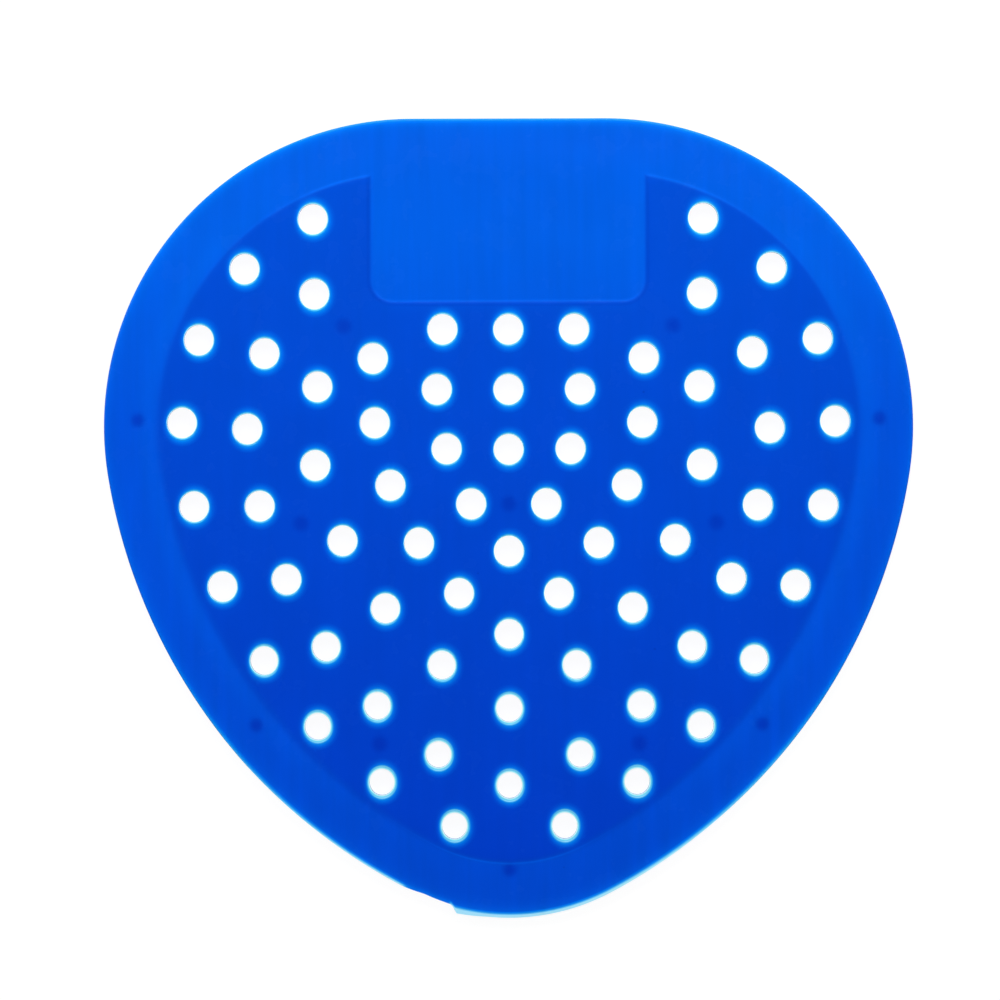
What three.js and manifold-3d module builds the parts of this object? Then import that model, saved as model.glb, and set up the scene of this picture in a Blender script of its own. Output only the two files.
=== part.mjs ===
// Deodorizer screen that lies over the drain of a urinal: one flat moulding in soft clear vinyl.
// A thin rim runs round a thicker perforated panel, and a thin tab hangs from the flat top edge.
// Units are millimetres. X runs to the right, Y towards the flat top edge, and Z up.
// The origin is under the middle of the outline, at the level that the feet stand on.

import * as THREE from "three";
import { mergeVertices } from "three/addons/utils/BufferGeometryUtils.js";
import Module from "manifold-3d";

// Outline: a flat top edge, a large round corner on each side, then side arcs that meet in a blunt point
const WIDTH = 180;
const LENGTH = 177.5;
const CORNER_RADIUS = 68.5;
const SIDE_RADIUS = 127.3;
const POINT_RADIUS = 48;

// Heights of the rim and tab, of the panel above them, and of the rounding on the outer edges
const RIM_THICKNESS = 2;
const PANEL_RISE = 0.6;
const EDGE_ROUND = 0.6;

// Rim and the slope that leads up from it to the panel
const RIM_WIDTH = 12;
const SLOPE_WIDTH = 1.1;

// Thin tab under the top edge
const TAB_WIDTH = 61;
const TAB_DEPTH = 40.8;
const TAB_CORNER_RADIUS = 4.9;

// Drain holes, the least vinyl between two of them, and the least between one and the tab's slope
const HOLE_DIAMETER = 7.1;
const HOLE_LIP = 0.4;
const SMALLEST_WEB = 4;
const SMALLEST_LAND = 1;

// Rings of holes, the inner one first. inset is measured from the panel's edge to the hole centres, and
// drop lowers the ring's side arc. first is the way along the ring from the axis to its first hole, and
// pitch the way between holes.
const RINGS = [
  { inset: 62.8, drop: -0.6, first: 0, pitch: 13.45 },
  { inset: 48.4, drop: -0.5, first: 0, pitch: 14.35 },
  { inset: 33.5, drop: -1.1, first: 0, pitch: 17.85 },
  { inset: 20.3, drop: 3, first: 17.9, pitch: 17.4 },
  { inset: 5.3, drop: -0.4, first: 13.3, pitch: 18.9 },
];
const TIGHTEST_RING_CORNER = 15;

// Single holes on the axis: one that closes the second ring, and a column under the tab
const LOW_HOLE_INSET = 17.2;
const COLUMN_GAP = 6.1;
const COLUMN_PITCH = 13.35;

// Round feet on the underside. Rim feet stand at a distance in from the outline.
const FOOT_DIAMETER = 3;
const FOOT_HEIGHT = 1;
const FOOT_CHAMFER = 0.3;
const RIM_FOOT_INSET = 7.6;
const POINT_FOOT_INSET = 10.4;
const LOW_RIM_FOOT_ANGLE = -39.2;

// Finish
const VINYL_BLUE = 0x0153d4;
const VINYL_ROUGHNESS = 0.3;

// Fineness of the facets
const CHORD_ERROR = 0.03;
const EDGE_FACETS = 2;
const HOLE_SIDES = 20;
const FOOT_SIDES = 12;
const OVERLAP = 0.5;

const UNDERSIDE = FOOT_HEIGHT;
const RIM_TOP = UNDERSIDE + RIM_THICKNESS;
const PANEL_TOP = RIM_TOP + PANEL_RISE;

const wasm = await Module();
wasm.setup();

// Centres of the outline's tangent arcs, on the right-hand side
const pointCentre = new THREE.Vector2(0, POINT_RADIUS);
const cornerCentre = new THREE.Vector2(WIDTH / 2 - CORNER_RADIUS, LENGTH - CORNER_RADIUS);
const sideCentre = tangentCentre();
const pointToSide = directionFrom(sideCentre, pointCentre);
const sideToCorner = directionFrom(sideCentre, cornerCentre);

// Centre of the side arc, which touches the point's arc and the corner's arc from outside
function tangentCentre() {
  const toPoint = SIDE_RADIUS - POINT_RADIUS;
  const toCorner = SIDE_RADIUS - CORNER_RADIUS;
  const span = pointCentre.distanceTo(cornerCentre);
  const along = (toPoint ** 2 - toCorner ** 2 + span ** 2) / (2 * span);
  const across = Math.sqrt(toPoint ** 2 - along ** 2);
  const direction = cornerCentre.clone().sub(pointCentre).normalize();
  const sideways = new THREE.Vector2(-direction.y, direction.x);
  return pointCentre.clone().addScaledVector(direction, along).addScaledVector(sideways, across);
}

function directionFrom(centre, target) {
  return Math.atan2(target.y - centre.y, target.x - centre.x);
}

// Points of an arc without its last one, as close together as the chord error asks
function arc(centre, radius, from, to) {
  const sweep = Math.abs(to - from);
  const steps = Math.ceil(sweep / (2 * Math.acos(1 - CHORD_ERROR / radius)));
  const curve = new THREE.EllipseCurve(centre.x, centre.y, radius, radius, from, to, to < from);
  return curve.getPoints(steps).slice(0, -1);
}

function mirrored(points) {
  return points.map((point) => new THREE.Vector2(-point.x, point.y)).reverse();
}

// Right-hand half of the outline moved in by inset, from the point on the axis up to topAngle
function halfOutline(inset, topAngle) {
  const cornerRadius = CORNER_RADIUS - inset;
  return [
    ...arc(pointCentre, POINT_RADIUS - inset, -Math.PI / 2, pointToSide),
    ...arc(sideCentre, SIDE_RADIUS - inset, pointToSide, sideToCorner),
    ...arc(cornerCentre, cornerRadius, sideToCorner, topAngle),
    new THREE.Vector2(
      cornerCentre.x + cornerRadius * Math.cos(topAngle),
      cornerCentre.y + cornerRadius * Math.sin(topAngle),
    ),
  ];
}

function plateShape() {
  const right = halfOutline(0, Math.PI / 2);
  return new THREE.Shape([...right, ...mirrored(right.slice(1))]);
}

// The panel fills the outline inside the rim, apart from the tab
function panelShape() {
  const side = TAB_WIDTH / 2;
  const bottom = LENGTH - TAB_DEPTH;
  const reach = (side - cornerCentre.x) / (CORNER_RADIUS - RIM_WIDTH);
  const outer = halfOutline(RIM_WIDTH, Math.acos(THREE.MathUtils.clamp(reach, 0, 1)));
  const filletCentre = new THREE.Vector2(side - TAB_CORNER_RADIUS, bottom + TAB_CORNER_RADIUS);
  const tabSide = [
    new THREE.Vector2(side, outer.at(-1).y),
    ...arc(filletCentre, TAB_CORNER_RADIUS, 0, -Math.PI / 2),
    new THREE.Vector2(filletCentre.x, bottom),
  ];
  const right = [...outer.slice(0, -1), ...tabSide];
  return new THREE.Shape([...right, ...mirrored(right.slice(1))]);
}

// Slab with both its edges rounded inwards over a width and a height. Its walls are upright over depth.
function roundedSlab(shape, top, depth, roundWidth, roundHeight) {
  const slab = new THREE.ExtrudeGeometry(shape, {
    depth,
    bevelEnabled: true,
    bevelSize: roundWidth,
    bevelOffset: -roundWidth,
    bevelThickness: roundHeight,
    bevelSegments: EDGE_FACETS,
  });
  return slab.translate(0, 0, top - roundHeight - depth);
}

// Round piece about the Z axis from pairs of radius and height
function turned(profile, sides) {
  const points = profile.map(([radius, height]) => new THREE.Vector2(radius, height));
  return new THREE.LatheGeometry(points, sides).rotateX(Math.PI / 2);
}

function holeCutter() {
  const radius = HOLE_DIAMETER / 2;
  const bottom = UNDERSIDE - OVERLAP;
  const top = PANEL_TOP + OVERLAP;
  return turned(
    [
      [0, bottom],
      [radius, bottom],
      [radius, UNDERSIDE],
      [radius, PANEL_TOP - HOLE_LIP],
      [radius + HOLE_LIP, PANEL_TOP],
      [radius + HOLE_LIP, top],
      [0, top],
    ],
    HOLE_SIDES,
  );
}

function foot() {
  const radius = FOOT_DIAMETER / 2;
  const top = UNDERSIDE + OVERLAP;
  return turned(
    [[0, 0], [radius - FOOT_CHAMFER, 0], [radius, FOOT_CHAMFER], [radius, top], [0, top]],
    FOOT_SIDES,
  );
}

// Right-hand half of one ring. It runs parallel to the side arc and round the corner, but a ring that
// would turn too tightly there keeps to its side arc.
function ringPath({ inset, drop }) {
  const centre = new THREE.Vector2(sideCentre.x, sideCentre.y - drop);
  const radius = SIDE_RADIUS - RIM_WIDTH - inset;
  const cornerRadius = radius - centre.distanceTo(cornerCentre);
  const roundsCorner = cornerRadius > TIGHTEST_RING_CORNER;
  const turn = roundsCorner ? directionFrom(centre, cornerCentre) : Math.PI / 2;
  const path = new THREE.Path();
  path.absarc(centre.x, centre.y, radius, -Math.acos(-centre.x / radius), turn);
  if (roundsCorner) path.absarc(cornerCentre.x, cornerCentre.y, cornerRadius, turn, Math.PI / 2);
  return path;
}

function crowdsTab(hole) {
  const clearance = HOLE_DIAMETER / 2 + SLOPE_WIDTH + SMALLEST_LAND;
  return hole.x < TAB_WIDTH / 2 + clearance && hole.y > LENGTH - TAB_DEPTH - clearance;
}

function crowdsHoles(hole, others) {
  const clearance = HOLE_DIAMETER + 2 * HOLE_LIP + SMALLEST_WEB;
  return others.some((other) => other.distanceTo(hole) < clearance);
}

// Holes of one ring from the axis upwards, as far as the tab and the holes inside it leave room
function ringHoles(ring, others) {
  const path = ringPath(ring);
  const length = path.getLength();
  const found = [];
  for (let way = ring.first; way < length; way += ring.pitch) {
    const hole = path.getPoint(way / length);
    if (crowdsTab(hole) || crowdsHoles(hole, others)) break;
    found.push(hole);
  }
  return found;
}

// Holes on the axis from the tab downwards, as far as the rings leave room
function columnHoles(others) {
  const found = [];
  const hole = new THREE.Vector2(0, LENGTH - TAB_DEPTH - COLUMN_GAP);
  while (!crowdsHoles(hole, others)) {
    found.push(hole.clone());
    hole.y -= COLUMN_PITCH;
  }
  return found;
}

// A point on the axis stands once, and any other has its twin on the left
function bothSides(points) {
  return points.flatMap((point) => (Math.abs(point.x) < 0.01 ? [point] : [point, ...mirrored([point])]));
}

function midway(a, b) {
  return a.clone().add(b).multiplyScalar(0.5);
}

const rings = RINGS.reduce((done, ring) => [...done, ringHoles(ring, done.flat())], []);
const column = columnHoles(rings.flat());
const lowHole = new THREE.Vector2(0, RIM_WIDTH + LOW_HOLE_INSET);
const holes = [...bothSides(rings.flat()), ...column, lowHole];

// Feet on the panel stand midway between neighbouring holes
function panelFeet() {
  const [inner, fourth, third, second, outer] = rings;
  return [
    midway(outer[1], second[1]),
    midway(second[4], third[3]),
    midway(second.at(-1), fourth.at(-1)),
    midway(inner[1], mirrored([inner[1]])[0]),
  ];
}

function rimFeet() {
  const low = THREE.MathUtils.degToRad(LOW_RIM_FOOT_ANGLE);
  const lowRadius = SIDE_RADIUS - RIM_FOOT_INSET;
  return [
    new THREE.Vector2(0, POINT_FOOT_INSET),
    new THREE.Vector2(WIDTH / 2 - RIM_FOOT_INSET, cornerCentre.y),
    new THREE.Vector2(
      sideCentre.x + lowRadius * Math.cos(low),
      sideCentre.y + lowRadius * Math.sin(low),
    ),
  ];
}

// Closed solid for joining and cutting, from a geometry's bare positions
function solid(geometry) {
  const bare = geometry.clone();
  bare.deleteAttribute("normal");
  bare.deleteAttribute("uv");
  const merged = mergeVertices(bare);
  const vertProperties = new Float32Array(merged.attributes.position.array);
  const triVerts = new Uint32Array(merged.index.array);
  return new wasm.Manifold(new wasm.Mesh({ numProp: 3, vertProperties, triVerts }));
}

function geometryOf(body) {
  const mesh = body.getMesh();
  const geometry = new THREE.BufferGeometry();
  geometry.setAttribute("position", new THREE.BufferAttribute(mesh.vertProperties, 3));
  geometry.setIndex(new THREE.BufferAttribute(mesh.triVerts, 1));
  return geometry;
}

// Copies of one solid at each point, joined into one
function patternOf(geometry, points) {
  return points
    .map((point) => solid(geometry.clone().translate(point.x, point.y, 0)))
    .reduce((joined, copy) => joined.add(copy));
}

function screenGeometry() {
  const edge = Math.min(EDGE_ROUND, RIM_THICKNESS / 3);
  const plate = roundedSlab(plateShape(), RIM_TOP, RIM_THICKNESS - 2 * edge, edge, edge);
  const socket = RIM_THICKNESS / 4;
  const panel = roundedSlab(panelShape(), PANEL_TOP, socket, SLOPE_WIDTH, PANEL_RISE);
  const feet = patternOf(foot(), bothSides([...panelFeet(), ...rimFeet()]));
  const cutters = patternOf(holeCutter(), holes);
  const body = solid(plate).add(solid(panel)).add(feet).subtract(cutters);
  return geometryOf(body).translate(0, -LENGTH / 2, 0);
}

const vinyl = new THREE.MeshStandardMaterial({
  color: VINYL_BLUE,
  roughness: VINYL_ROUGHNESS,
  metalness: 0,
});
const screen = new THREE.Mesh(screenGeometry(), vinyl);
screen.name = "screen";

const part = new THREE.Group();
part.add(screen);

export default part;
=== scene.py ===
# Looks of the urinal deodorizer screen: one flat mat of soft translucent blue vinyl on a white
# ground. The mat replaces the plain solid with a finer one of about the same size, and its vinyl is
# lighter where it is thin: in the rim and tab, round the holes and along the outer edge. Round the
# holes and along the edge this is partly painted light, a glow as of light coming through, and the
# vinyl is also painted lighter towards its flat top edge.
# Shapes are in millimetres from the mat's lowest point on its axis, as complex numbers x + yi, and
# are moved to the frame's metres when the mesh is made.

import math

import bpy
import numpy as np
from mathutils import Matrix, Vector, kdtree
from mathutils.geometry import delaunay_2d_cdt


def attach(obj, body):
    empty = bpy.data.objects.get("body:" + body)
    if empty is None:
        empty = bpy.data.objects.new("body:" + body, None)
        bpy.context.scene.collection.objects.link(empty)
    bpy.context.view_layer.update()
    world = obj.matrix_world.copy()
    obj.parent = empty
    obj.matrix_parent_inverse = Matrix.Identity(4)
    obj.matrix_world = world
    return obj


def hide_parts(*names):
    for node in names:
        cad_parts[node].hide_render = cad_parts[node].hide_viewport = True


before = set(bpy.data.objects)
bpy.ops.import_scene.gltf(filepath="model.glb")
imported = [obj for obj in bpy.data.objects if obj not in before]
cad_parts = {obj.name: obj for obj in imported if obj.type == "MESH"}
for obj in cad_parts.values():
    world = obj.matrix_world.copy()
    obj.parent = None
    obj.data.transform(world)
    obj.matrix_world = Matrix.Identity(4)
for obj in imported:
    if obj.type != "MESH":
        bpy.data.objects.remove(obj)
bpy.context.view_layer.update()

MM = 0.001

# Outline and its tangent arcs
WIDTH = 180
LENGTH = 177.5
CORNER_RADIUS = 68.5
SIDE_RADIUS = 127.3
POINT_RADIUS = 48

# Heights. The rim swells gently towards the panel, and the panel's own step is low.
UNDERSIDE = 1
RIM_TOP = 3
RIM_SWELL = 0.45
PANEL_STEP = 0.15
TAB_STEP_REACH = 0.6
RIM_STEP_REACH = 0.9
EDGE_ROUND = 0.6
EDGE_DROP = 0.3
POINT_EDGE_DROP = 0.02

# Rim, tab and the step up to the panel
RIM_WIDTH = 12
TAB_WIDTH = 61
TAB_DEPTH = 40.8
TAB_CORNER_RADIUS = 4.9
SLOPE_WIDTH = 1.1

# Holes: rings of them, inner one first, then single ones on the axis
HOLE_DIAMETER = 7.1
HOLE_LIP = 0.4
SMALLEST_WEB = 4
SMALLEST_LAND = 1
RINGS = [
    dict(inset=62.8, drop=-0.6, first=0, pitch=13.45),
    dict(inset=48.4, drop=-0.5, first=0, pitch=14.35),
    dict(inset=33.5, drop=-1.1, first=0, pitch=17.85),
    dict(inset=20.3, drop=3, first=17.9, pitch=17.4),
    dict(inset=5.3, drop=-0.4, first=13.3, pitch=18.9),
]
TIGHTEST_RING_CORNER = 15
LOW_HOLE_INSET = 17.2
COLUMN_GAP = 6.1
COLUMN_PITCH = 13.35

# Feet. The profile pairs distances from a foot's middle with shares of the underside's height.
RIM_FOOT_INSET = 7.6
SIDE_FOOT_RISE = 1.6
POINT_FOOT_INSET = 10.4
LOW_RIM_FOOT_ANGLE = -39.2
FOOT_PROFILE = np.array(
    [(0, 0), (1.15, 0), (1.34, 0.08), (1.44, 0.3), (1.52, 0.72), (1.68, 0.93), (1.95, 1)]
)

# Half sizes of a hole across and along the mat, at its lip and at the inner edge of its flash.
# The first value is for the upper holes and the second for those near the point, with more flash.
HOLE_TOP_HALF = (complex(3.46, 3.6), complex(3.3, 3.56))
HOLE_CLEAR_HALF = (complex(3.27, 3.38), complex(2.75, 2.9))
FLASH_FROM = 83
FLASH_TO = 30
LIP_DROP = 0.04
FLASH_DROP = 0.03
FLASH_LOOPS = (1, 0.66, 0.33)

# How far the lower edge stands out from the even outline, along X from the axis. It is worn in on
# the left, where a sliver of flash begins with a slanting end and then runs along the point.
EDGE_WEAR_X = (-60, -30, -24, -19.5, -15, -13.2, -11.7, -5, 25, 45)
EDGE_WEAR = (0, -0.35, -0.42, -1.05, -0.95, -0.85, 0.75, 0.3, 0.25, 0.1)
WORN_FROM = -22.5
WORN_TO = -13

# Fineness of the mesh: where its rows of points lie along edges, and how far apart others are
EDGE_LOOPS = (0, 0.05, 0.18, 0.36, EDGE_ROUND)
RIM_LOOPS = (1.1, 1.8, 2.6)
SLOPE_LOOPS = (-1.3, -0.85, -0.5, -0.2, 0.1, 0.4, 0.75, SLOPE_WIDTH)
LIP_OFFSETS = (0, 0.04, 0.13, 0.26, HOLE_LIP)
HALO_OFFSETS = (0.75, 1.2, 1.8)
SPOT_RADII = (0.6, 1.2, 1.8, 2.4)
SPOT_STEP = 0.9
HOLE_SIDES = 36
FOOT_SIDES = 24
LOOP_STEP = 1.25
TOP_STEP = 1.5
UNDER_STEP = 2.8
SMALLEST_GAP = 0.3
FILLER_GAP_SHARE = 0.6

POINT_CENTRE = complex(0, POINT_RADIUS)
CORNER_CENTRE = complex(WIDTH / 2 - CORNER_RADIUS, LENGTH - CORNER_RADIUS)


def tangent_centre():
    """Centre of the side arc, which touches the point's arc and the corner's arc from outside."""
    to_point = SIDE_RADIUS - POINT_RADIUS
    to_corner = SIDE_RADIUS - CORNER_RADIUS
    span = CORNER_CENTRE - POINT_CENTRE
    along = (to_point**2 - to_corner**2 + abs(span) ** 2) / (2 * abs(span))
    across = math.sqrt(to_point**2 - along**2)
    return POINT_CENTRE + span / abs(span) * complex(along, across)


SIDE_CENTRE = tangent_centre()
POINT_TO_SIDE = np.angle(POINT_CENTRE - SIDE_CENTRE)
SIDE_TO_CORNER = np.angle(CORNER_CENTRE - SIDE_CENTRE)
ARCS = [
    (POINT_CENTRE, POINT_RADIUS, -math.pi / 2, POINT_TO_SIDE),
    (SIDE_CENTRE, SIDE_RADIUS, POINT_TO_SIDE, SIDE_TO_CORNER),
    (CORNER_CENTRE, CORNER_RADIUS, SIDE_TO_CORNER, math.pi / 2),
]


def smooth(value, low, high):
    """0 at low and 1 at high, with an even run between them."""
    share = np.clip((value - low) / (high - low), 0, 1)
    return share * share * (3 - 2 * share)


def arc(centre, radius, start, end, step=LOOP_STEP):
    """Points of an arc without its last one."""
    count = max(2, math.ceil(radius * abs(end - start) / step))
    return centre + radius * np.exp(1j * np.linspace(start, end, count, endpoint=False))


def line(start, end, step=LOOP_STEP):
    count = max(1, math.ceil(abs(end - start) / step))
    return start + (end - start) * np.arange(count) / count


def mirrored(points):
    return -np.conj(points)


def closed_loop(right):
    """Whole loop from its right half, which starts and ends on the axis."""
    return np.concatenate([right, mirrored(right[1:-1])[::-1]])


def outline_loop(inset):
    """Outline moved in by inset."""
    arcs = [arc(centre, radius - inset, start, end) for centre, radius, start, end in ARCS]
    arcs[0] = arc(POINT_CENTRE, POINT_RADIUS - inset, *ARCS[0][2:], LOOP_STEP / 2)
    top = line(complex(CORNER_CENTRE.real, LENGTH - inset), complex(0, LENGTH - inset))
    return closed_loop(np.concatenate([*arcs, top, [complex(0, LENGTH - inset)]]))


def panel_loop(inset):
    """Edge of the panel moved in by inset: inside the rim and round the tab."""
    side = TAB_WIDTH / 2 + inset
    corner_radius = CORNER_RADIUS - RIM_WIDTH - inset
    horn_angle = math.acos((side - CORNER_CENTRE.real) / corner_radius)
    horn = CORNER_CENTRE + corner_radius * np.exp(1j * horn_angle)
    fillet_centre = complex(
        TAB_WIDTH / 2 - TAB_CORNER_RADIUS, LENGTH - TAB_DEPTH + TAB_CORNER_RADIUS
    )
    fillet = TAB_CORNER_RADIUS + inset
    outer = [
        arc(centre, radius - RIM_WIDTH - inset, start, end)
        for centre, radius, start, end in ARCS[:2]
    ]
    outer.append(arc(CORNER_CENTRE, corner_radius, SIDE_TO_CORNER, horn_angle))
    below = complex(0, fillet_centre.imag - fillet)
    right = [
        *outer,
        line(horn, fillet_centre + fillet),
        arc(fillet_centre, fillet, 0, -math.pi / 2, LOOP_STEP / 2),
        line(fillet_centre - 1j * fillet, below),
        [below],
    ]
    return closed_loop(np.concatenate(right))


def outline_distance(points):
    """Distance in from the outline, and the outward direction of its nearest part."""
    right = abs(points.real) + 1j * points.imag
    distance = LENGTH - right.imag
    outward = np.full(right.shape, 1j)
    for centre, radius, start, end in ARCS:
        spoke = right - centre
        angle = np.angle(spoke)
        inward = np.where((angle >= start) & (angle <= end), radius - abs(spoke), np.inf)
        closer = inward < distance
        distance = np.where(closer, inward, distance)
        outward = np.where(closer, spoke / np.maximum(abs(spoke), 1e-6), outward)
    return distance, np.where(points.real < 0, mirrored(outward), outward)


def panel_distance(points):
    """Distance in from the panel's edge, and the outward direction of the edge's nearest part."""
    inset, outward = outline_distance(points)
    from_rim = inset - RIM_WIDTH
    across = abs(points.real) - (TAB_WIDTH / 2 - TAB_CORNER_RADIUS)
    below = LENGTH - TAB_DEPTH + TAB_CORNER_RADIUS - points.imag
    corner = np.maximum(across, 0) + 1j * np.maximum(below, 0)
    from_tab = abs(corner) + np.minimum(np.maximum(across, below), 0) - TAB_CORNER_RADIUS
    to_tab = -corner.conj() / np.maximum(abs(corner), 1e-6)
    to_tab = np.where(points.real < 0, mirrored(to_tab), to_tab)
    nearer_tab = from_tab < from_rim
    return np.where(nearer_tab, from_tab, from_rim), np.where(nearer_tab, to_tab, outward)


def crowds_tab(hole):
    clearance = HOLE_DIAMETER / 2 + SLOPE_WIDTH + SMALLEST_LAND
    return hole.real < TAB_WIDTH / 2 + clearance and hole.imag > LENGTH - TAB_DEPTH - clearance


def crowds_holes(hole, others):
    clearance = HOLE_DIAMETER + 2 * HOLE_LIP + SMALLEST_WEB
    return any(abs(other - hole) < clearance for other in others)


def ring_holes(ring, others):
    """Right-hand holes of one ring, from the axis along the side arc and round the corner."""
    centre = SIDE_CENTRE - 1j * ring["drop"]
    radius = SIDE_RADIUS - RIM_WIDTH - ring["inset"]
    corner_radius = radius - abs(centre - CORNER_CENTRE)
    rounds_corner = corner_radius > TIGHTEST_RING_CORNER
    start = -math.acos(-centre.real / radius)
    turn = np.angle(CORNER_CENTRE - centre) if rounds_corner else math.pi / 2
    side_length = radius * (turn - start)
    corner_length = corner_radius * (math.pi / 2 - turn) if rounds_corner else 0
    found = []
    way = ring["first"]
    while way < side_length + corner_length:
        if way < side_length:
            hole = centre + radius * np.exp(1j * (start + way / radius))
        else:
            angle = turn + (way - side_length) / corner_radius
            hole = CORNER_CENTRE + corner_radius * np.exp(1j * angle)
        if crowds_tab(hole) or crowds_holes(hole, others):
            break
        found.append(hole)
        way += ring["pitch"]
    return found


def both_sides(points):
    """The points with their twins on the left. A point on the axis has none."""
    found = []
    for point in points:
        found += [point] if abs(point.real) < 0.01 else [point, mirrored(point)]
    return found


def place_holes():
    """Rings of right-hand holes, and all the holes."""
    rings = []
    for ring in RINGS:
        rings.append(ring_holes(ring, sum(rings, [])))
    column = []
    hole = complex(0, LENGTH - TAB_DEPTH - COLUMN_GAP)
    while not crowds_holes(hole, sum(rings, [])):
        column.append(hole)
        hole -= 1j * COLUMN_PITCH
    low_hole = complex(0, RIM_WIDTH + LOW_HOLE_INSET)
    return rings, np.array(both_sides(sum(rings, [])) + column + [low_hole])


def place_feet(rings):
    """Feet midway between neighbouring holes, and feet under the rim."""
    inner, fourth, third, second, outer = rings
    low_spoke = np.exp(1j * math.radians(LOW_RIM_FOOT_ANGLE))
    feet = [
        (outer[1] + second[1]) / 2,
        (second[4] + third[3]) / 2,
        (second[-1] + fourth[-1]) / 2,
        complex(0, inner[1].imag),
        complex(0, POINT_FOOT_INSET),
        complex(WIDTH / 2 - RIM_FOOT_INSET, CORNER_CENTRE.imag + SIDE_FOOT_RISE),
        SIDE_CENTRE + (SIDE_RADIUS - RIM_FOOT_INSET) * low_spoke,
    ]
    return np.array(both_sides(feet))


ring_sets, holes = place_holes()
feet = place_feet(ring_sets)
flash = smooth(holes.imag, FLASH_FROM, FLASH_TO)
top_half = HOLE_TOP_HALF[0] + (HOLE_TOP_HALF[1] - HOLE_TOP_HALF[0]) * flash
clear_half = HOLE_CLEAR_HALF[0] + (HOLE_CLEAR_HALF[1] - HOLE_CLEAR_HALF[0]) * flash


def hole_distance(points, halves):
    """Distance outside the nearest hole, and the direction from its middle."""
    spokes = points[:, None] - holes[None, :]
    stretch = np.hypot(spokes.real / halves.real, spokes.imag / halves.imag)
    outside = abs(spokes) * (1 - 1 / np.maximum(stretch, 1e-3))
    nearest = np.argmin(outside, axis=1)
    row = np.arange(len(points))
    spoke = spokes[row, nearest]
    return outside[row, nearest], spoke / np.maximum(abs(spoke), 1e-6)


def flash_share(points):
    """0 at a hole's lip and outside it, and 1 at the inner edge of its flash."""
    beyond, _ = hole_distance(points, top_half)
    clear, _ = hole_distance(points, clear_half)
    return np.clip(-beyond / np.maximum(clear - beyond, 1e-6), 0, 1)


def foot_distances(points):
    """Distance of each point from the middle of each foot."""
    return abs(points[:, None] - feet[None, :])


def hole_loop(hole, half, offset):
    """Edge of a hole moved out by offset."""
    angles = np.arange(HOLE_SIDES) * 2 * math.pi / HOLE_SIDES
    across = (half.real + offset) * np.cos(angles)
    along = (half.imag + offset) * np.sin(angles)
    return hole + across + 1j * along


def quarter_round(share):
    """Height share of a rounded edge from 0 at its foot to 1 at its top."""
    return np.sqrt(1 - (1 - np.clip(share, 0, 1)) ** 2)


def beside_tab(points):
    """Where the panel's nearest edge is the tab's."""
    inset, _ = outline_distance(points)
    return panel_distance(points)[0] < inset - RIM_WIDTH - 1e-6


def top_height(points):
    """Height of the mat's upper face."""
    inset, outward = outline_distance(points)
    panel, _ = panel_distance(points)
    hole, _ = hole_distance(points, top_half)
    edge_drop = EDGE_DROP + (POINT_EDGE_DROP - EDGE_DROP) * smooth(-outward.imag, 0.3, 0.8)
    reach = np.where(beside_tab(points), TAB_STEP_REACH, RIM_STEP_REACH)
    height = RIM_TOP + RIM_SWELL * smooth(inset, EDGE_ROUND, RIM_WIDTH)
    height += PANEL_STEP * smooth(panel, -reach, reach)
    height -= edge_drop * (1 - quarter_round(inset / EDGE_ROUND))
    height -= LIP_DROP * (1 - quarter_round(hole / HOLE_LIP))
    return height - FLASH_DROP * flash_share(points)


def under_height(points):
    """Height of the mat's lower face and of its feet."""
    inset, _ = outline_distance(points)
    nearest = foot_distances(points).min(axis=1)
    height = UNDERSIDE * np.interp(nearest, FOOT_PROFILE[:, 0], FOOT_PROFILE[:, 1])
    return height + EDGE_DROP * (1 - quarter_round(inset / EDGE_ROUND))


def away_from(points, others, gap):
    """The points that are more than a gap away from all the others."""
    tree = kdtree.KDTree(len(others))
    for index, other in enumerate(others):
        tree.insert((other.real, other.imag, 0), index)
    tree.balance()
    far = [tree.find((point.real, point.imag, 0))[2] > gap for point in points]
    return points[np.array(far, bool)]


def hex_points(step):
    """Even grid of points over the whole mat, with every second row moved by half a step."""
    count = int(WIDTH / 2 / step)
    across = np.arange(-count, count + 1) * step
    places = enumerate(np.arange(step, LENGTH, step * math.sqrt(3) / 2))
    return np.concatenate([across + step / 2 * (row % 2) + 1j * along for row, along in places])


def rings_of_points(centres, radii, step):
    """Free points in circles round each centre, with the centre itself."""
    found = [centres]
    for radius in radii:
        count = math.ceil(2 * math.pi * radius / step)
        circle = radius * np.exp(2j * math.pi * np.arange(count) / count)
        found.append((centres[:, None] + circle[None, :]).ravel())
    return np.concatenate(found)


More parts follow.
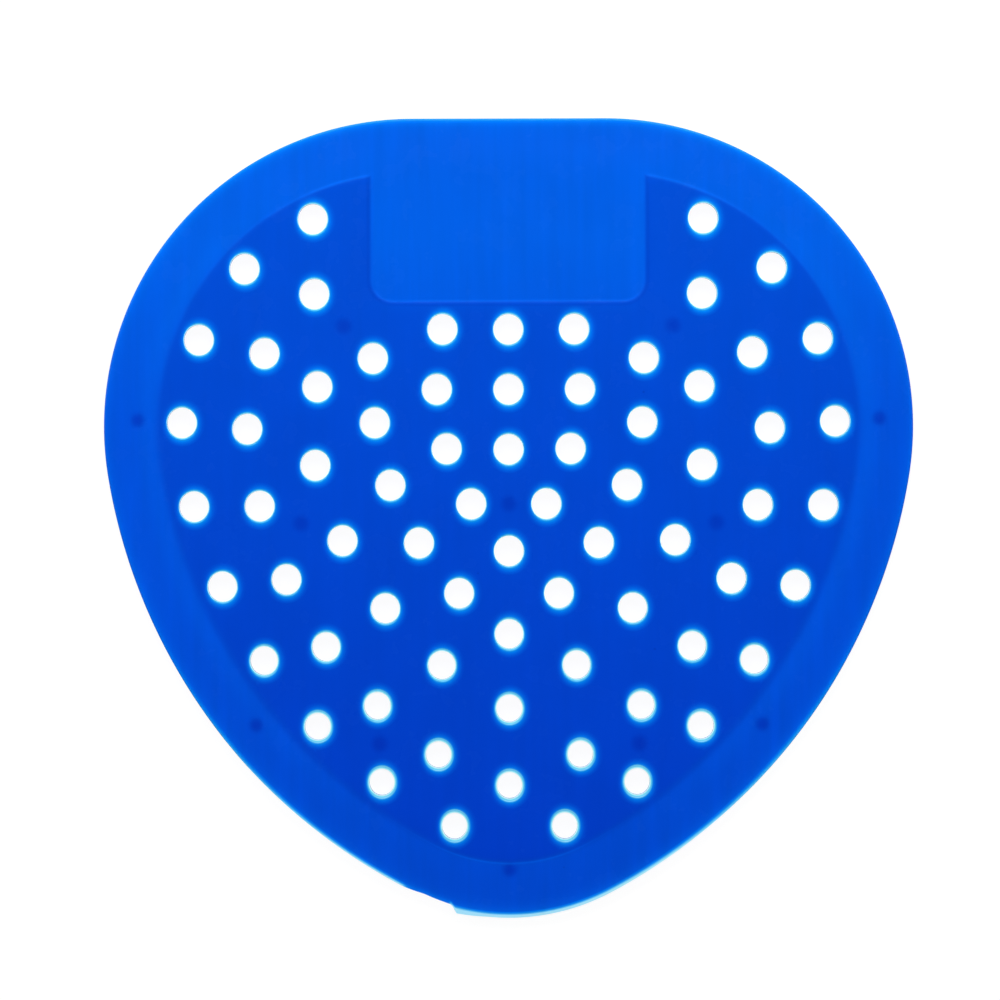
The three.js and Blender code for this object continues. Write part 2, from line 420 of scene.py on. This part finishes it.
def sheet(loops, free, step, halves):
    """Triangles of one face of the mat.

    Gives its points, its triangles and, for each loop, the numbers of its points.
    """
    fixed = np.concatenate(loops)
    filler = away_from(free, fixed, SMALLEST_GAP)
    others = np.concatenate([fixed, filler])
    grid = away_from(hex_points(step), others, step * FILLER_GAP_SHARE)
    filler = np.concatenate([filler, grid])
    inset, _ = outline_distance(filler)
    outside, _ = hole_distance(filler, halves)
    filler = filler[(inset > SMALLEST_GAP) & (outside > SMALLEST_GAP)]
    points = np.concatenate([fixed, filler])
    edges = []
    start = 0
    for loop in loops:
        numbers = np.arange(start, start + len(loop))
        edges += list(zip(numbers.tolist(), np.roll(numbers, -1).tolist()))
        start += len(loop)
    flat = [Vector((point.real, point.imag)) for point in points]
    verts, _, faces, origins, _, _ = delaunay_2d_cdt(flat, edges, [], 0, 1e-5)
    made = np.array([complex(vert.x, vert.y) for vert in verts])
    faces = np.array(faces)
    middle = made[faces].mean(axis=1)
    inset, _ = outline_distance(middle)
    outside, _ = hole_distance(middle, halves)
    faces = faces[(inset > 0) & (outside > 0)]
    number = np.zeros(len(points), int)
    for made_number, sources in enumerate(origins):
        for source in sources:
            number[source] = made_number
    starts = np.cumsum([0] + [len(loop) for loop in loops])
    loop_numbers = [number[start:end] for start, end in zip(starts[:-1], starts[1:])]
    return made, faces, loop_numbers


def wall(first, second, flip=False):
    """Triangles of the strip between two loops of equal length."""
    next_first, next_second = np.roll(first, -1), np.roll(second, -1)
    if flip:
        first, next_first, second, next_second = next_first, first, next_second, second
    return np.concatenate(
        [
            np.stack([first, next_first, next_second], axis=1),
            np.stack([first, next_second, second], axis=1),
        ]
    )


def mat_surface():
    """Points with their heights, the triangles, and each point's share of flash from 0 to 1."""
    outline = [outline_loop(inset) for inset in EDGE_LOOPS]
    slope = [panel_loop(inset) for inset in SLOPE_LOOPS]
    lips = []
    halo = []
    for hole, half, clear in zip(holes, top_half, clear_half):
        lips += [hole_loop(hole, half + (clear - half) * share, 0) for share in FLASH_LOOPS]
        lips += [hole_loop(hole, half, offset) for offset in LIP_OFFSETS]
        halo += [hole_loop(hole, half, offset) for offset in HALO_OFFSETS]
    halo = np.concatenate(halo)
    halo = halo[panel_distance(halo)[0] > SLOPE_WIDTH + 0.25]
    spots = rings_of_points(feet, SPOT_RADII, SPOT_STEP)
    rim = np.concatenate([outline_loop(inset) for inset in RIM_LOOPS])
    free = np.concatenate([halo, spots, rim])
    top, top_faces, top_loops = sheet([*outline, *slope, *lips], free, TOP_STEP, clear_half)

    mouths = [hole_loop(hole, half, 0) for hole, half in zip(holes, clear_half)]
    studs = [
        foot + radius * np.exp(2j * math.pi * np.arange(FOOT_SIDES) / FOOT_SIDES)
        for foot in feet
        for radius in FOOT_PROFILE[1:, 0]
    ]
    under_edges = [*outline, *mouths, *studs]
    under, under_faces, under_loops = sheet(under_edges, feet, UNDER_STEP, clear_half)

    base = len(top)
    faces = [top_faces, under_faces[:, ::-1] + base]
    faces.append(wall(under_loops[0] + base, top_loops[0]))
    first_lip = len(outline) + len(slope)
    lip_count = len(FLASH_LOOPS) + len(LIP_OFFSETS)
    flash_depth = np.concatenate([flash_share(top), np.zeros(len(under))])
    for index in range(len(holes)):
        upper = top_loops[first_lip + index * lip_count]
        lower = under_loops[len(outline) + index] + base
        faces.append(wall(upper, lower))
    heights = np.concatenate([top_height(top), under_height(under)])
    return np.concatenate([top, under]), heights, np.concatenate(faces), flash_depth


# Painted glow, from 0 up: how much more light is painted on as if coming through near a hole and
# near the outer edge
HOLE_GLOW_REACH = 1.58
EDGE_GLOW = 0.16
POINT_GLOW = 1.5

# Reach of the colour's change at the panel's edge, by which way the edge faces: -1 down, 1 up
EDGE_FACING = (-1, -0.9, -0.7, -0.3, 0.3, 0.7)
EDGE_REACH = (0.7, 1.3, 1.5, 1.1, 0.8, 0.35)
TAB_EDGE_REACH = 0.4

# Spots over the feet: how wide they are and how dark, under the rim and under the panel
SPOT_CORE = 0.5
SPOT_REACH = 1.9
RIM_SPOT = dict(spread=1.2, strength=1)
PANEL_SPOT = dict(spread=1.35, strength=0.68)


def painted_hole_glow(points):
    """Painted glow of light round the holes, with painted light at each lip. It is strongest below
    a hole and weakest to its left.
    """
    outside, direction = hole_distance(points, top_half)
    upright = direction.imag**2
    reach = HOLE_GLOW_REACH + 0.42 * upright + 0.17 * direction.real
    strength = 0.415 + 0.41 * upright - 0.175 * direction.imag + 0.115 * direction.real
    share = np.clip(outside / reach, 0, 1)
    lip = 0.15 + 0.3 * np.maximum(direction.imag, 0)
    lip = lip + 0.3 * smooth(points.imag, FLASH_FROM, FLASH_TO)
    lip = lip * np.exp(-((np.maximum(outside, 0) / 0.24) ** 2))
    return strength * (0.75 * (1 - share) ** 2 + 0.25 * np.exp(-share / 0.08)) + lip


def painted_edge_glow(points):
    """Painted glow of light along the outer edge. It is strongest at the point, and missing where
    that is worn.
    """
    inset, outward = outline_distance(points)
    up = np.maximum(outward.imag, 0)
    down = np.maximum(-outward.imag, 0)
    inset = np.maximum(inset, 0)
    strength = EDGE_GLOW + 0.46 * up**2 + 0.24 * down
    spread = strength * np.exp(-(1.6 - 0.5 * down) * inset)
    left_end = smooth(points.real, WORN_FROM - 2, WORN_FROM)
    right_end = smooth(points.real, WORN_TO, WORN_TO - 1)
    band = POINT_GLOW * smooth(down, 0.35, 1) * (1 - smooth(inset, 0.05, 0.95))
    return spread + band * (1 - left_end * right_end)


def painted_step_lines(points):
    """Lines along the slope: painted highlights and painted shade.

    The painted highlights run along the tab's lower edge, at the point and at the two horns beside
    the tab. The painted shade runs round the tab as dark lines.
    """
    inside, outward = panel_distance(points)
    upright = outward.imag**2
    tab = beside_tab(points)
    point = smooth(-outward.imag, 0.8, 1) * (1 - tab)
    light = np.exp(-(((inside + 0.2) / 0.22) ** 2)) * (0.12 * tab * upright + 0.35 * point)
    light += np.exp(-(((inside - 1.25) / 0.2) ** 2)) * 0.07 * tab * upright
    sides = smooth(abs(outward.real), 0.5, 0.9) * (1 - tab)
    light += 0.07 * sides * np.exp(-(((inside + 2.2) / 2) ** 2))
    horn = smooth(outward.imag, 0.8, 0.95) * (1 - tab)
    light += 0.22 * horn * np.exp(-(((inside + 0.1) / 0.25) ** 2))
    dark = np.exp(-(((inside - 0.6) / 0.38) ** 2)) * tab * (0.35 + 0.4 * (1 - upright))
    return light, dark


def panel_share(points):
    """0 in the rim and tab and 1 in the panel. The change is sharp at the tab and softer below."""
    inside, outward = panel_distance(points)
    reach = np.interp(outward.imag, EDGE_FACING, EDGE_REACH)
    reach = np.where(beside_tab(points), TAB_EDGE_REACH, reach)
    return smooth(inside, -reach, reach)


def foot_spot(points):
    """How dark the feet make the vinyl above them. Under the panel the spots are softer."""
    under_panel = panel_distance(feet)[0] > 0
    spread = np.where(under_panel, PANEL_SPOT["spread"], RIM_SPOT["spread"])
    strength = np.where(under_panel, PANEL_SPOT["strength"], RIM_SPOT["strength"])
    fade = smooth(foot_distances(points) / spread, SPOT_CORE, SPOT_REACH)
    return (strength * (1 - fade)).max(axis=1)


def worn(points):
    """The points, with the lower edge moved in and out by its wear."""
    inset, outward = outline_distance(points)
    shift = np.interp(points.real, EDGE_WEAR_X, EDGE_WEAR) * smooth(-outward.imag, 0.3, 0.6)
    depth = np.where(shift > 0, 0.4, 3)
    return points + outward * shift * (1 - smooth(inset, 0, depth))


def add_mesh(name, points, heights, faces, values):
    """Smooth mesh object in the frame's metres, with a named value at each of its points."""
    place = np.stack([points.real, points.imag - LENGTH / 2, heights], axis=1) * MM
    mesh = bpy.data.meshes.new(name)
    mesh.from_pydata(place.tolist(), [], faces.tolist())
    for key, value in values.items():
        attribute = mesh.attributes.new(key, "FLOAT", "POINT")
        attribute.data.foreach_set("value", np.asarray(value, np.float32))
    mesh.shade_smooth()
    mesh.set_sharp_from_angle(angle=math.radians(50))
    mesh.validate()
    obj = bpy.data.objects.new(name, mesh)
    bpy.context.scene.collection.objects.link(obj)
    return obj


def srgb(red, green, blue):
    """Linear colour from the eight-bit values of a screen colour."""
    values = [value / 255 for value in (red, green, blue)]
    return (*(v / 12.92 if v <= 0.04045 else ((v + 0.055) / 1.055) ** 2.4 for v in values), 1)


class Nodes:
    """Short way to write a node tree: each call adds a node, sets its sockets and links them."""

    def __init__(self, owner):
        owner.use_nodes = True
        self.tree = owner.node_tree
        self.tree.nodes.clear()

    def add(self, kind, settings=None, **sockets):
        node = self.tree.nodes.new(kind)
        for key, value in (settings or {}).items():
            setattr(node, key, value)
        for key, value in sockets.items():
            self.put(node, key, value)
        return node

    def put(self, node, key, value):
        """Set or link a socket, named with underscores for spaces or numbered as at_0."""
        number = key.removeprefix("at_")
        socket = node.inputs[int(number) if number.isdigit() else key.replace("_", " ")]
        if isinstance(value, bpy.types.NodeSocket):
            self.tree.links.new(value, socket)
        else:
            socket.default_value = value

    def value(self, name):
        """Value that the mesh holds at its points under this name."""
        return self.add("ShaderNodeAttribute", dict(attribute_name=name)).outputs["Fac"]

    def math(self, operation, first, second=0.0, clamp=False):
        settings = dict(operation=operation, use_clamp=clamp)
        return self.add("ShaderNodeMath", settings, at_0=first, at_1=second).outputs[0]

    def blend(self, kind, share, first, second):
        settings = dict(data_type="RGBA", blend_type=kind)
        return self.add("ShaderNodeMix", settings, at_0=share, at_6=first, at_7=second).outputs[2]

    def span(self, value, low, high, to_low=0.0, to_high=1.0):
        """Value moved from the span low to high to the span to_low to to_high."""
        sockets = dict(Value=value, From_Min=low, From_Max=high, To_Min=to_low, To_Max=to_high)
        return self.add("ShaderNodeMapRange", **sockets).outputs[0]

    def ramp(self, value, stops):
        node = self.add("ShaderNodeValToRGB", Fac=value)
        elements = node.color_ramp.elements
        while len(elements) < len(stops):
            elements.new(1)
        for element, (place, colour) in zip(elements, stops):
            element.position = place
            element.color = colour
        return node.outputs[0]

    def noise(self, where, scale, detail=2.0, stretch=(1, 1, 1)):
        mapped = self.add("ShaderNodeMapping", Vector=where, Scale=stretch).outputs[0]
        sockets = dict(Vector=mapped, Scale=scale, Detail=detail)
        return self.add("ShaderNodeTexNoise", **sockets).outputs["Fac"]


def vinyl_material():
    material = bpy.data.materials.new("vinyl")
    n = Nodes(material)
    where = n.add("ShaderNodeTexCoord").outputs["Object"]
    along = n.add("ShaderNodeSeparateXYZ", Vector=where).outputs["Y"]
    towards_top = n.span(along, -LENGTH / 2 * MM, LENGTH / 2 * MM)

    # Deep blue, lighter where it is thin. Lighter and a little greener towards the flat top edge is
    # painted light from the top
    thin = n.ramp(
        towards_top,
        [
            (0, srgb(0, 77, 222)),
            (0.62, srgb(0, 81, 219)),
            (0.85, srgb(0, 91, 221)),
            (1, srgb(0, 89, 218)),
        ],
    )
    thick = n.blend("MIX", towards_top, srgb(0, 62, 208), srgb(0, 76, 206))
    panel = n.value("panel")
    colour = n.blend("MIX", panel, thin, thick)

    # Cloudy mottling, and faint flow streaks along the mat that show most in the thin parts
    clouds = n.span(n.noise(where, 55, 3), 0.3, 0.7, 0.972, 1.028)
    streaks = n.noise(where, 420, 4, (1, 0.07, 1))
    streak_depth = n.span(panel, 0, 1, 0.05, 0.025)
    streaks = n.math("MULTIPLY", n.span(streaks, 0.25, 0.75, -1, 1), streak_depth)
    tone = n.math("ADD", clouds, streaks)
    colour = n.blend("MULTIPLY", 1.0, colour, tone)

    # Feet show through as soft dark spots
    colour = n.blend("MULTIPLY", n.value("foot"), colour, (1, 0.52, 0.78, 1))

    # Painted shade as dark lines along the slope, and a few specks
    colour = n.blend("MULTIPLY", n.value("painted_shade_line"), colour, (1, 0.78, 0.88, 1))
    speck = n.add("ShaderNodeTexVoronoi", Vector=where, Scale=85).outputs["Distance"]
    colour = n.blend("MULTIPLY", n.span(speck, 0.015, 0.03, 0.6, 0), colour, (1, 0.55, 0.75, 1))

    # Painted glow of light round the holes and edges, weaker on their walls, with the painted
    # highlight lines along the slope
    normal = n.add("ShaderNodeNewGeometry").outputs["True Normal"]
    level = n.math("ABSOLUTE", n.add("ShaderNodeSeparateXYZ", Vector=normal).outputs["Z"])
    level = n.span(level, 0.2, 0.6)
    painted_glow = n.math("ADD", n.value("painted_glow"), n.math("MULTIPLY", n.value("painted_highlight_line"), 0.4))
    painted_glow = n.math("MULTIPLY", painted_glow, n.span(level, 0, 1, 0.5, 1))
    added = n.ramp(
        n.math("DIVIDE", painted_glow, 1.5),
        [
            (0, (0, 0, 0, 1)),
            (0.04, (0, 0.022, 0.063, 1)),
            (0.12, (0, 0.066, 0.152, 1)),
            (0.24, (0, 0.128, 0.222, 1)),
            (0.33, (0.002, 0.175, 0.224, 1)),
            (0.52, (0.02, 0.28, 0.232, 1)),
            (0.67, (0.07, 0.44, 0.3, 1)),
            (0.87, (0.2, 0.62, 0.36, 1)),
            (1, (0.42, 0.8, 0.4, 1)),
        ],
    )
    colour = n.blend("ADD", 1.0, colour, added)

    # Flash at the holes, paler towards its thin inner edge
    flash = n.math("MULTIPLY", n.value("flash"), level)
    flash_colour = n.ramp(
        flash,
        [
            (0, srgb(48, 175, 252)),
            (0.33, srgb(100, 214, 255)),
            (0.65, srgb(170, 242, 255)),
            (1, srgb(230, 254, 255)),
        ],
    )
    colour = n.blend("MIX", n.math("MULTIPLY", flash, 4.0, clamp=True), colour, flash_colour)

    roughness = n.span(n.noise(where, 160, 4), 0.3, 0.7, 0.2, 0.3)
    grain = n.noise(where, 2600, 2)
    wave = n.noise(where, 90, 2)
    height = n.math("ADD", n.math("MULTIPLY", grain, 0.12), wave)
    bump = n.add("ShaderNodeBump", Strength=0.12, Distance=0.0006, Height=height).outputs[0]
    shader = n.add("ShaderNodeBsdfPrincipled", Base_Color=colour, Roughness=roughness, Normal=bump)
    shader.inputs["Specular IOR Level"].default_value = 0.07
    n.add("ShaderNodeOutputMaterial", Surface=shader.outputs[0])
    return material


# Ground: half its width in metres, and how far it lies below the feet in millimetres
GROUND_HALF = 25
GROUND_GAP = 0.02


def floor_material():
    """White ground. The camera, gloss and clear things see it near white, with a faint shadow."""
    material = bpy.data.materials.new("ground")
    n = Nodes(material)
    path = n.add("ShaderNodeLightPath")
    seen = n.math("ADD", path.outputs["Is Camera Ray"], path.outputs["Is Glossy Ray"])
    seen = n.math("ADD", seen, path.outputs["Is Transmission Ray"], clamp=True)
    shown = n.add(
        "ShaderNodeAddShader",
        at_0=n.add("ShaderNodeEmission", Color=(1, 1, 1, 1), Strength=0.95).outputs[0],
        at_1=n.add("ShaderNodeBsdfDiffuse", Color=(0.1, 0.1, 0.1, 1)).outputs[0],
    ).outputs[0]
    plain = n.add("ShaderNodeBsdfDiffuse", Color=(0.8, 0.8, 0.8, 1)).outputs[0]
    mixed = n.add("ShaderNodeMixShader", at_0=seen, at_1=plain, at_2=shown)
    n.add("ShaderNodeOutputMaterial", Surface=mixed.outputs[0])
    return material


def add_floor():
    half = GROUND_HALF
    mesh = bpy.data.meshes.new("ground")
    corners = [(-half, -half, 0), (half, -half, 0), (half, half, 0), (-half, half, 0)]
    mesh.from_pydata(corners, [], [(0, 1, 2, 3)])
    mesh.materials.append(floor_material())
    floor = bpy.data.objects.new("ground", mesh)
    floor.location.z = -GROUND_GAP * MM
    bpy.context.scene.collection.objects.link(floor)


def add_lamp(name, azimuth, elevation, distance, size, share):
    """Square lamp aimed at the mat. All shares together make a colour look as it is written."""
    turn = math.radians(azimuth)
    rise = math.radians(elevation)
    level = math.cos(rise)
    direction = Vector((level * math.cos(turn), level * math.sin(turn), math.sin(rise)))
    lamp = bpy.data.lights.new(name, "AREA")
    lamp.size = size
    lamp.energy = share * math.pi**2 * distance**2 / direction.z
    holder = bpy.data.objects.new(name, lamp)
    holder.location = direction * distance
    holder.rotation_euler = direction.to_track_quat("Z", "Y").to_euler()
    bpy.context.scene.collection.objects.link(holder)


# Light: azimuth and elevation in degrees, distance and size in metres, and share of each lamp
LAMPS = {
    "lamp_top": (90, 42, 0.62, 0.4, 0.58),
    "lamp_left": (155, 40, 1.1, 0.6, 0.19),
    "lamp_right": (25, 40, 1.1, 0.6, 0.17),
    "lamp_low": (-90, 45, 2.0, 0.8, 0.05),
}
WORLD_SHARE = 0.1


def add_world():
    world = bpy.data.worlds.new("studio")
    n = Nodes(world)
    light = n.add("ShaderNodeBackground", Color=(1, 1, 1, 1), Strength=WORLD_SHARE)
    n.add("ShaderNodeOutputWorld", Surface=light.outputs[0])
    bpy.context.scene.world = world


# Camera: straight above, far off. VIEW_WIDTH is what the picture takes in at the mat's face.
VIEW_WIDTH = 222.4
VIEW_CENTRE = (-1.95, 3.88)
VIEW_ROLL = -0.17
CAMERA_HEIGHT = 1600
SENSOR_WIDTH = 36


def add_camera():
    camera = bpy.data.cameras.new("camera")
    camera.sensor_width = SENSOR_WIDTH
    camera.lens = SENSOR_WIDTH * (CAMERA_HEIGHT - RIM_TOP) / VIEW_WIDTH
    camera.clip_start = 0.05
    camera.clip_end = 100
    holder = bpy.data.objects.new("camera", camera)
    holder.location = (VIEW_CENTRE[0] * MM, VIEW_CENTRE[1] * MM, CAMERA_HEIGHT * MM)
    holder.rotation_euler.z = math.radians(VIEW_ROLL)
    bpy.context.scene.collection.objects.link(holder)
    bpy.context.scene.camera = holder


def add_mat():
    points, heights, faces, flash_depth = mat_surface()
    # Lines of painted highlight and painted shade along the slope
    painted_highlight_line, painted_shade_line = painted_step_lines(points)
    values = dict(
        panel=panel_share(points),
        # Painted glow of light round the holes and along the outer edge
        painted_glow=np.maximum(painted_hole_glow(points), painted_edge_glow(points)),
        foot=foot_spot(points),
        painted_highlight_line=painted_highlight_line,
        painted_shade_line=painted_shade_line,
        flash=flash_depth,
    )
    mat = add_mesh("vinyl_screen", worn(points), heights, faces, values)
    mat.data.materials.append(vinyl_material())
    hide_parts("screen")
    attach(mat, "root")


add_mat()
add_floor()
for lamp_name, lamp_values in LAMPS.items():
    add_lamp(lamp_name, *lamp_values)
add_world()
add_camera()

bpy.context.scene.view_settings.view_transform = "Standard"
